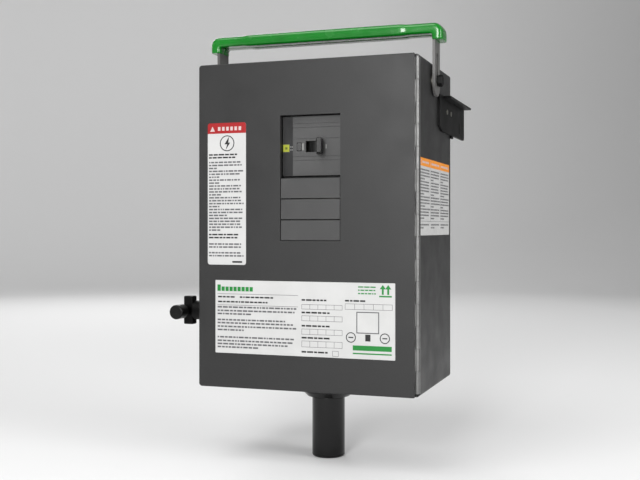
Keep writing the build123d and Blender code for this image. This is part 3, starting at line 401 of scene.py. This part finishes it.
def rounded_top(width, depth, radius, steps=6):
    """A band along the top of a label, with the label's two round corners."""
    outline = [(0, depth)]
    for k in range(steps + 1):
        angle = math.pi / 2 * k / steps
        outline.append((radius - radius * math.cos(angle), radius - radius * math.sin(angle)))
    for k in range(steps + 1):
        angle = math.pi / 2 * (1 - k / steps)
        outline.append((width - radius + radius * math.cos(angle), radius - radius * math.sin(angle)))
    outline.append((width, depth))
    return outline


def front_label(node):
    """Maps millimetres right of and below a front label's top left corner to the frame."""
    low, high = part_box(node)

    def place(u, v, out):
        return (low.x + u * MM, low.y - out, high.z - v * MM)
    return place


def side_label(node):
    """The same for the label on the right side, where right is towards the rear."""
    low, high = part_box(node)

    def place(u, v, out):
        return (high.x + out, low.y + u * MM, high.z - v * MM)
    return place


def extent(node, axis):
    """A node's size in millimetres along an axis, where x is 0, y is 1 and z is 2."""
    low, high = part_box(node)
    return (high[axis] - low[axis]) / MM


# ---------------------------------------------------------------- tall label on the door
def tall_label():
    """A red heading, a pictogram and greeked text: none of it says anything."""
    place = front_label("danger_label")
    width = extent("danger_label", 0)
    rng = random.Random(11)
    header = 13.1
    print_ink("danger_header", "door", place, [rounded_top(width, header, 3.0)], "red")

    def over_header(u, v, out):
        return place(u, v, out + INK_T)
    marks = [[(3.3, 10.4), (6.6, 4.2), (9.9, 10.4)]]
    marks += [bar(u, u + 3.4, 4.9, 9.6) for u in (14.0, 19.6, 25.2, 30.8, 36.4, 42.0)]
    print_ink("danger_header_marks", "door", over_header, marks, "white")

    middle = width / 2 + 0.5
    upper = [(2.6, 17.2), (-3.6, 26.6), (0.2, 26.6), (1.6, 24.6)]
    lower = [(0.2, 26.6), (-2.2, 34.0), (4.2, 24.6), (1.6, 24.6)]
    bolt = [[(middle + u, v) for u, v in half] for half in (upper, lower)]
    ink = ring(middle, 25.4, 9.9, 8.7) + bolt
    for v, end in ((38.4, 40.0), (42.0, 37.5), (137.6, 41.5), (141.4, 41.0)):
        ink += words(rng, 1.6, end, v, 1.9, 3.0, 8.0)
    ink += [bar(33.5, 46.7, 171.2, 173.4)]
    print_ink("danger_print_bold", "door", place, ink, "black")

    pitch = 3.66
    starts = [0, 3, 6, 8, 12, 16, 19, 24]
    text = []
    for first, after in zip(starts, starts[1:]):
        lines = [47.9 + pitch * k for k in range(first, after)]
        text += paragraph(rng, 1.8, width - 2.0, lines, 1.9)
    for lines in ((149.4, 153.1), (160.2, 163.9)):
        text += paragraph(rng, 1.8, width - 2.6, lines, 1.9, short_last=False)
    print_ink("danger_print_text", "door", place, text, "grey")


# ---------------------------------------------------------------- wide label on the door
def wide_label():
    """Three columns of greeked text, empty boxes and plain pictograms."""
    place = front_label("rating_label")
    rng = random.Random(23)
    green = [bar(2.7, 7.2, 5.5, 13.4)]
    green += [bar(8.3 + 5.4 * k, 12.6 + 5.4 * k, 7.9, 13.4) for k in range(8)]
    for v in (4.2, 8.0, 12.0):
        green += words(rng, 185.5, 208, v, 1.5)
    for u in (214.6, 221.2):
        green += [[(u - 2.6, 7.2), (u + 1.2, 2.0), (u + 5.0, 7.2)], bar(u, u + 2.4, 7.2, 13.6)]
    green += [bar(211.4, 226.8, 14.8, 16.6), bar(179, 226.7, 74.2, 80.2), bar(179, 226.7, 83.0, 84.6)]
    print_ink("rating_print_green", "door", place, green, "green")

    bold = []
    for u0, u1, v in ((3.5, 27, 19.6), (33, 79, 19.6), (3.5, 70.7, 25.6)):
        bold += words(rng, u0, u1, v, 1.9)
    for v in (21.0, 36.1, 52.1, 66.5, 83.5):
        bold += words(rng, 114.3, 150, v, 2.0, 3.0, 8.0)
    bold += words(rng, 169.3, 196.8, 20.6, 2.0, 3.0, 8.0)
    bold += [bar(194.4, 200.8, 61.0, 69.0)]
    for u in (176.6, 218.3):
        bold += ring(u, 65.0, 6.2, 5.1)
        bold += [bar(u - 3.0, u + 3.0, 64.3, 65.7)]
    print_ink("rating_print_bold", "door", place, bold, "black")

    text = [bar(2.7, 109.5, 16.6, 17.1), bar(2.7, 109.5, 30.4, 30.9)]
    for lines in ((32.2, 36.6, 40.5), (47.9, 51.8, 56.2, 60.4), (69.3, 73.8, 77.7, 81.6)):
        text += paragraph(rng, 2.9, 108, lines, 2.0)
    line = 0.45
    for v0, v1 in ((27.2, 33.2), (40.8, 47.3), (56.8, 63.6), (71.2, 78.8)):
        text += frame_of(114.3, 166, v0, v1, line)
        text += [bar(u, u + line, v0 + line, v1 - line) for u in (124.6, 134.9, 145.2, 155.5)]
    text += frame_of(153.5, 161.3, 82, 88.6, line)
    text += frame_of(169.3, 227.6, 25, 32, line)
    text += [bar(u, u + line, 25 + line, 32 - line) for u in (181.0, 192.6, 204.2, 215.8)]
    text += frame_of(183.4, 211.4, 34.3, 60, 1.2)
    print_ink("rating_print_text", "door", place, text, "grey")


# ---------------------------------------------------------------- label on the side
def side_print():
    """An orange heading over three columns of greeked text."""
    place = side_label("side_label")
    width = extent("side_label", 1)
    rng = random.Random(37)
    header = 9.7
    print_ink("side_header", "root", place, [rounded_top(width, header, 1.5)], "orange")
    column = width / 3

    def over_header(u, v, out):
        return place(u, v, out + INK_T)
    marks = ring(6.0, header / 2, 3.0, 2.2)
    marks += [bar(column * k - 0.4, column * k + 0.4, 0.2, header) for k in (1, 2)]
    for k in range(3):
        marks += words(rng, column * k + (12 if k == 0 else 5), column * (k + 1) - 6, 3.6, 2.6, 4, 10)
    print_ink("side_header_marks", "root", over_header, marks, "white")

    text = [bar(1.0, width - 1.0, 75.0, 75.4)]
    text += [bar(column * k - 0.2, column * k + 0.2, header, 75.0) for k in (1, 2)]
    for k in range(3):
        u0, u1 = column * k + 2.0, column * (k + 1) - 2.0
        lines = [header + 3.4 + 3.6 * n for n in range(17)]
        for first, after in ((0, 4), (4, 9), (9, 13), (13, 17)):
            text += paragraph(rng, u0, u1, lines[first:after], 1.8)
        text += paragraph(rng, u0, u1, (78.4, 82.0), 1.8)
    print_ink("side_print_text", "root", place, text, "grey")


# ---------------------------------------------------------------- marks on the breaker
BAND_RIGHT = -17.6
BAND_Z = (-59.3, 12.3)
BAND_GAP_HALF = 5.0
BADGE_MARGIN = 0.6


def breaker_marks():
    """A dark rating band down the left of the breaker's face, and small marks beside its controls."""
    face_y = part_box("breaker_cover")[0].y
    badge_low, badge_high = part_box("breaker_badge")
    left = badge_low.x / MM + BADGE_MARGIN
    badge_right = badge_high.x / MM + BADGE_MARGIN
    middle = (badge_low.z + badge_high.z) / 2 / MM
    above, below = middle + BAND_GAP_HALF, middle - BAND_GAP_HALF

    def place(u, v, out):
        return (u * MM, face_y - out, v * MM)

    def over_band(u, v, out):
        return place(u, v, out + INK_T)

    def on_badge(u, v, out):
        return (u * MM, badge_low.y - out, v * MM)

    def about_middle(u0, u1, down, up):
        return bar(u0, u1, middle - down, middle + up)

    band = [
        bar(left, BAND_RIGHT, above, BAND_Z[1]),
        bar(left, BAND_RIGHT, BAND_Z[0], below),
        bar(badge_right, BAND_RIGHT, below, above),
    ]
    print_ink("breaker_band", "root", place, band, "dark_band")
    square = [about_middle(-27.4, -24.6, 1.5, 1.3)]
    print_ink("badge_square", "root", on_badge, square, "badge_mark")
    marks = [about_middle(u, u + 1.2, down, 1.4 - down) for down in (2.8, -0.8) for u in (-20.9, -19.0)]
    print_ink("breaker_band_marks", "root", over_band, marks, "silver")
    marks = [about_middle(-5.6, -3.4, 3.0, 5.4), about_middle(24.6, 26.0, 1.6, 3.6)]
    print_ink("breaker_marks", "root", place, marks, "silver")


# ---------------------------------------------------------------- grip
GRIP_WALL = 13 * MM
GRIP_SWELL = 0.8 * MM
GRIP_BEND_OUT = 11 * MM
GRIP_BEND_IN = 3 * MM
GRIP_CORNER_OUT = 4.6 * MM
GRIP_CORNER_IN = 3.4 * MM
GRIP_CROWN = 0.4 * MM
GRIP_CROWN_SIDE = 0.3 * MM
SEAM_HALF_W = 0.5 * MM
SEAM_DEPTH = 0.9 * MM
CUT_PINCH = 0.5 * MM
CUT_RIM = 1.4 * MM
CUT_DEPTH = 1.2 * MM
BEND_STEPS = 7
# Places along the grip's top, and how much of the swell the section has there
GRIP_SWELLS = ((126, 0), (112, 0), (108.5, 0.1), (104, 0.9), (101, 1), (85, 1), (45, 1), (0, 1))


def quarter(steps):
    """The cosine and sine of each step round a quarter turn."""
    angles = [math.pi / 2 * k / steps for k in range(steps + 1)]
    return [(math.cos(angle), math.sin(angle)) for angle in angles]


def grip_section(half, depth):
    """Half a section of the grip, from the seam underneath to the top: (sideways, up) points."""
    profile = [(0, SEAM_DEPTH), (SEAM_HALF_W, 0), (half * 0.45, 0), (half - GRIP_CORNER_IN, 0)]
    for cosine, sine in quarter(3)[1:]:
        profile.append((half - GRIP_CORNER_IN * (1 - sine), GRIP_CORNER_IN * (1 - cosine)))
    for cosine, sine in quarter(3):
        profile.append((half - GRIP_CORNER_OUT * (1 - cosine), depth - GRIP_CORNER_OUT * (1 - sine)))
    return profile + [(half * 0.45, depth + GRIP_CROWN_SIDE), (0, depth + GRIP_CROWN)]


def moulded_grip():
    """The green grip as one moulding round the strap, thicker in the middle, parted underneath."""
    low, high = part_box("handle_grip")
    mid_y = (low.y + high.y) / 2
    half_w = (high.y - low.y) / 2 - GRIP_SWELL
    outer_x = high.x
    inner_x = outer_x - GRIP_WALL
    top_z = high.z - GRIP_SWELL
    under_z = top_z - GRIP_WALL

    def station(outer, inner, growth=0.0):
        """One loop round the grip between an outer and an inner point of its side view."""
        outer, inner = Vector(outer), Vector(inner)
        out = (outer - inner).normalized()
        depth = (outer - inner).length + 2 * growth
        start = inner - out * growth
        half = grip_section(half_w + growth, depth)
        mirrored = [(-sideways, up) for sideways, up in reversed(half[1:-1])]
        loop = []
        for sideways, up in half + mirrored:
            point = start + out * up
            loop.append((point.x, mid_y + sideways, point.y))
        return loop

    centre_out = (outer_x - GRIP_BEND_OUT, top_z - GRIP_BEND_OUT)
    centre_in = (inner_x - GRIP_BEND_IN, under_z - GRIP_BEND_IN)
    right_half = []
    for share in (0.0, 0.12, 0.55, 1.0):
        z_out = low.z + share * (centre_out[1] - low.z)
        z_in = low.z + share * (centre_in[1] - low.z)
        growth = -CUT_PINCH if share == 0 else 0.0
        right_half.append(station((outer_x, z_out), (inner_x, z_in), growth))
    for cosine, sine in quarter(BEND_STEPS)[1:]:
        outer = (centre_out[0] + GRIP_BEND_OUT * cosine, centre_out[1] + GRIP_BEND_OUT * sine)
        inner = (centre_in[0] + GRIP_BEND_IN * cosine, centre_in[1] + GRIP_BEND_IN * sine)
        right_half.append(station(outer, inner))
    for x, share in GRIP_SWELLS:
        right_half.append(station((x * MM, top_z), (x * MM, under_z), share * GRIP_SWELL))
    left_half = [[(-x, y, z) for x, y, z in loop] for loop in reversed(right_half[:-1])]

    work = bmesh.new()
    rings = [[work.verts.new(point) for point in loop] for loop in right_half + left_half]
    count = len(rings[0])
    for one, after in zip(rings, rings[1:]):
        for k in range(count):
            step = (k + 1) % count
            work.faces.new((one[k], one[step], after[step], after[k]))
    caps = [work.faces.new(rings[0]), work.faces.new(rings[-1])]
    bmesh.ops.inset_individual(work, faces=caps, thickness=CUT_RIM, depth=-CUT_DEPTH)
    bmesh.ops.recalc_face_normals(work, faces=work.faces)
    mesh = finished(work, "grip_moulding")
    mesh.shade_smooth()
    grip = make_piece("grip_moulding", mesh, "handle", FINISH["grip_green"])
    rounding = grip.modifiers.new("rounding", "SUBSURF")
    rounding.levels = 1
    rounding.render_levels = 1
    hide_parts("handle_grip")


tall_label()
wide_label()
side_print()
breaker_marks()
moulded_grip()


# ---------------------------------------------------------------- floor, light and air
FLOOR_DROP = 0.2 * MM
FLAT_R = 3.2
WALL_BEND = 1.4
WALL_TOP = 2.6
FLOOR_TURNS = 64
# Painted shade on the floor paper: the way it darkens, and where the darkening starts and ends, in metres
# along that way.
PAINTED_SHADE_TOWARDS = (0.80, 0.60, 0.0)
PAINTED_SHADE_START = 1.6
PAINTED_SHADE_END = 4.4


def paper():
    """Pale studio paper with painted shade: it falls off to grey behind the box's right side, as a soft
    shadow there would, so that the side face reflects a darker floor.
    """
    s = Surface("floor_paper_painted_shade", Roughness=0.9)
    aim = s.nodes.new("ShaderNodeVectorMath")
    aim.operation = "DOT_PRODUCT"
    s.links.new(s.place, aim.inputs[0])
    aim.inputs[1].default_value = PAINTED_SHADE_TOWARDS
    # Painted shade: the paper goes from pale to grey towards the back right, where the box's right side
    # reflects the floor.
    share = s.spread(aim.outputs["Value"], 0, 1, PAINTED_SHADE_START, PAINTED_SHADE_END)
    s.feed("Base Color", s.blend(share, rgb(238, 238, 238), rgb(132, 132, 132)))
    s.relief((s.noise(900, 2), 0.02 * MM))
    return s.material


def floor_bowl():
    """A round pale floor that curves up into a wall, so that its shape is the same from every side; its
    paper carries the painted shade.
    """
    floor_z = cad_box[0].z - FLOOR_DROP
    profile = [(0.7, 0.0), (1.6, 0.0), (FLAT_R, 0.0)]
    for cosine, sine in quarter(12)[1:]:
        profile.append((FLAT_R + WALL_BEND * sine, WALL_BEND * (1 - cosine)))
    profile.append((FLAT_R + WALL_BEND, WALL_TOP))
    work = bmesh.new()
    centre = work.verts.new((0, 0, floor_z))
    before = None
    for radius, rise in profile:
        row = []
        for k in range(FLOOR_TURNS):
            angle = 2 * math.pi * k / FLOOR_TURNS
            row.append(work.verts.new((radius * math.cos(angle), radius * math.sin(angle), floor_z + rise)))
        for k in range(FLOOR_TURNS):
            after = (k + 1) % FLOOR_TURNS
            if before:
                work.faces.new((before[k], row[k], row[after], before[after]))
            else:
                work.faces.new((centre, row[k], row[after]))
        before = row
    mesh = finished(work, "floor")
    mesh.shade_smooth()
    floor = bpy.data.objects.new("floor", mesh)
    bpy.context.scene.collection.objects.link(floor)
    paint(floor, paper())


def soft_light(name, place, target, width, height, power):
    """A large soft box that faces a point."""
    data = bpy.data.lights.new(name, "AREA")
    data.shape = "RECTANGLE"
    data.size = width
    data.size_y = height
    data.energy = power
    light = bpy.data.objects.new(name, data)
    bpy.context.scene.collection.objects.link(light)
    light.location = place
    light.rotation_mode = "QUATERNION"
    light.rotation_quaternion = (Vector(target) - Vector(place)).to_track_quat("-Z", "Y")


def pale_air():
    """An even pale surround."""
    world = bpy.data.worlds.new("air")
    bpy.context.scene.world = world
    world.use_nodes = True
    background = world.node_tree.nodes["Background"]
    background.inputs["Color"].default_value = rgb(252, 252, 252)
    background.inputs["Strength"].default_value = 0.42


floor_bowl()
pale_air()
soft_light("key", (-0.6, -1.7, 2.3), (0.0, -0.1, -0.1), 1.6, 1.6, 34)
soft_light("card", (0.15, -2.2, 0.4), (0.05, -0.2, 0.0), 0.5, 0.8, 27)
soft_light("side", (2.4, -0.7, 0.5), (0.1, -0.1, -0.1), 1.0, 1.0, 34)
soft_light("rear", (-1.6, 2.1, 1.2), (0.0, 0.0, -0.1), 1.2, 1.2, 20)
